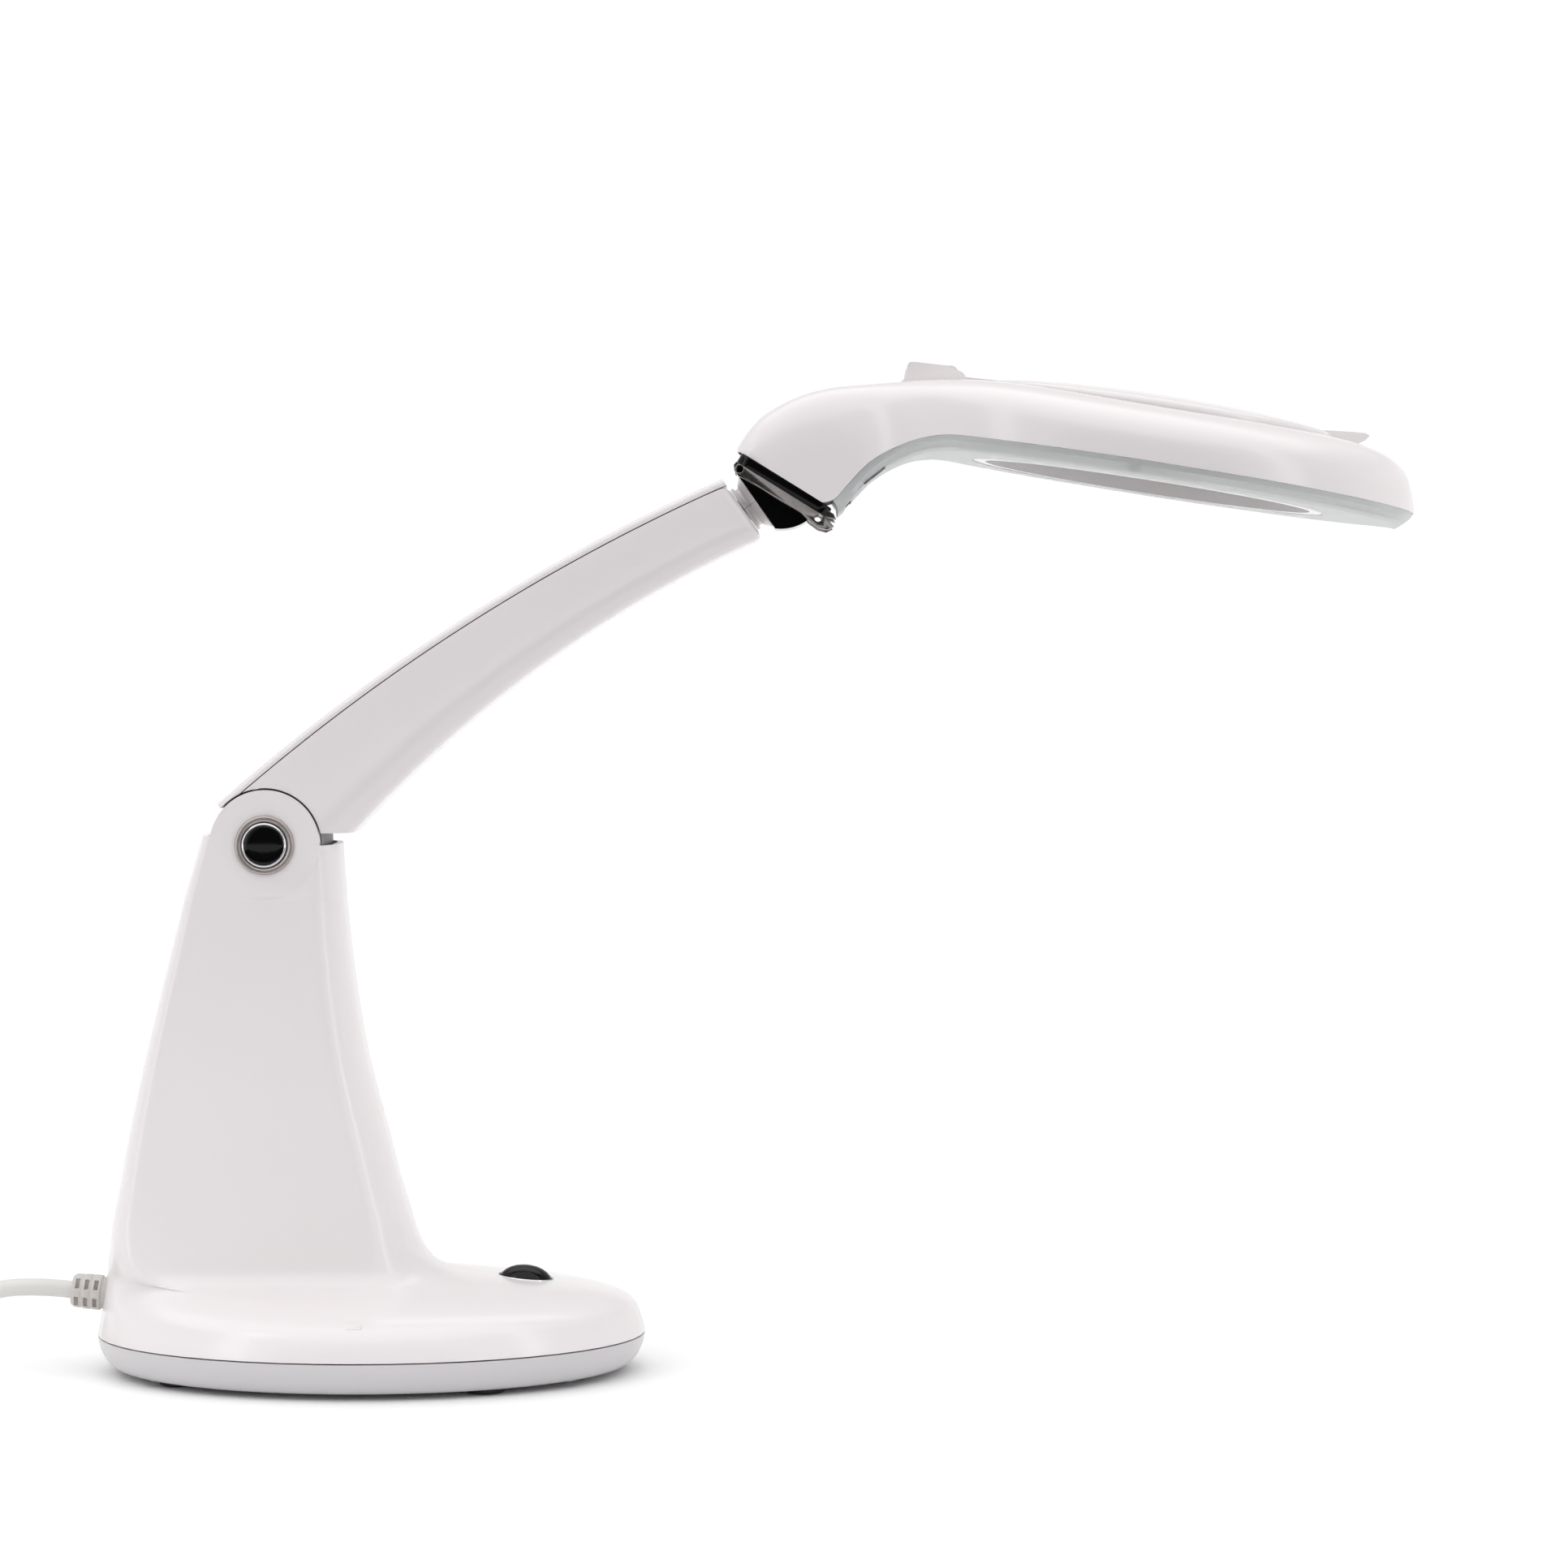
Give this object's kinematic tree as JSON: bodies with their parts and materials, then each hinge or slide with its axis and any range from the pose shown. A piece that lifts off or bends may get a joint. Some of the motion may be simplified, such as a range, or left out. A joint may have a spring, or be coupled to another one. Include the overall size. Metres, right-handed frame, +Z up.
{
  "type": "desk magnifier lamp",
  "caption": "Weighted oval base and column with one curved arm carrying a lighted ring head, a lens under a flip-up cover, a push button and a mains cord.",
  "frame": {"origin": "on the table, under the middle of the lamp's length and width without its cord", "axes": "+X from the column towards the head's nose, +Y across the lamp, +Z up from the table"},
  "size_m": [0.6304, 0.1557, 0.3461],
  "materials": {
    "white_abs": "glossy moulded ABS",
    "black_gloss": "mirror-gloss black ABS",
    "chrome_cap": "polished chrome plate",
    "satin_ring": "satin metallised",
    "grey_nylon": "moulded nylon",
    "clear_diffuser": "frosted clear acrylic",
    "lens_clear": "polished acrylic lens",
    "light_pvc": "soft satin PVC",
    "black_rubber": "matt rubber",
    "steel": "zinc plated",
    "cast_ballast": "rough cast",
    "green_board": "solder resist",
    "brass_bush": "turned brass",
    "red_wire": "PVC insulation",
    "led_yellow": "phosphor gel",
    "dark_switch": "moulded"
  },
  "bodies": {
    "base": {"base_shell": "white_abs", "bottom_cover": "white_abs", "ballast_plate": "cast_ballast", "rubber_feet": "black_rubber", "cover_screws": "steel", "switch_body": "dark_switch", "driver_board": "green_board", "strain_relief": "light_pvc", "column_wiring": "red_wire", "hinge_bolt": "steel", "hinge_nut": "steel", "friction_washers": "brass_bush", "pivot_rings": "satin_ring", "pivot_cap_left": "chrome_cap", "pivot_cap_right": "chrome_cap", "cord_lead": "light_pvc", "cord_coil": "light_pvc", "cord_tail": "light_pvc", "plug_body": "light_pvc", "plug_pins": "steel"},
    "button": {"power_button": "black_gloss"},
    "arm": {"arm_knuckle": "grey_nylon", "arm_shell": "white_abs", "arm_cover": "white_abs", "arm_screws": "steel", "arm_wiring": "red_wire", "swivel_bush": "brass_bush"},
    "neck": {"neck_upper": "white_abs", "neck_lower": "white_abs", "swivel_tube": "steel", "swivel_nut": "steel", "tilt_drum": "black_gloss"},
    "head": {"end_trim": "black_gloss", "tilt_pin": "steel", "tilt_washers": "brass_bush", "head_shell": "white_abs", "diffuser": "clear_diffuser", "led_board": "green_board", "leds": "led_yellow", "reflector_tray": "white_abs", "lens": "lens_clear", "lens_ring": "white_abs", "head_screws": "steel", "cover_pin": "steel"},
    "cover": {"lens_cover": "white_abs"}
  },
  "joints": [
    {"name": "power_button_press", "type": "slide", "parent": "base", "child": "button", "axis": [-0.0941, 0, -0.9956], "range_m": [0, 0.0015], "stiffness_N_per_m": 600, "springref_m": -0.0008},
    {"name": "arm_fold", "type": "hinge", "parent": "base", "child": "arm", "pos_m": [-0.1667, 0, 0.1815], "axis": [0, 1, 0], "range_deg": [-15, 8]},
    {"name": "head_swivel", "type": "hinge", "parent": "arm", "child": "neck", "pos_m": [0.0087, 0, 0.3049], "axis": [0.8191, 0, 0.5736], "range_deg": [-90, 90]},
    {"name": "head_tilt", "type": "hinge", "parent": "neck", "child": "head", "pos_m": [0.0087, 0, 0.3049], "axis": [0, 1, 0], "range_deg": [-10, 50]},
    {"name": "lens_cover_lift", "type": "hinge", "parent": "head", "child": "cover", "pos_m": [0.0668, 0, 0.3426], "axis": [0, -1, 0], "range_deg": [0, 110]}
  ]
}
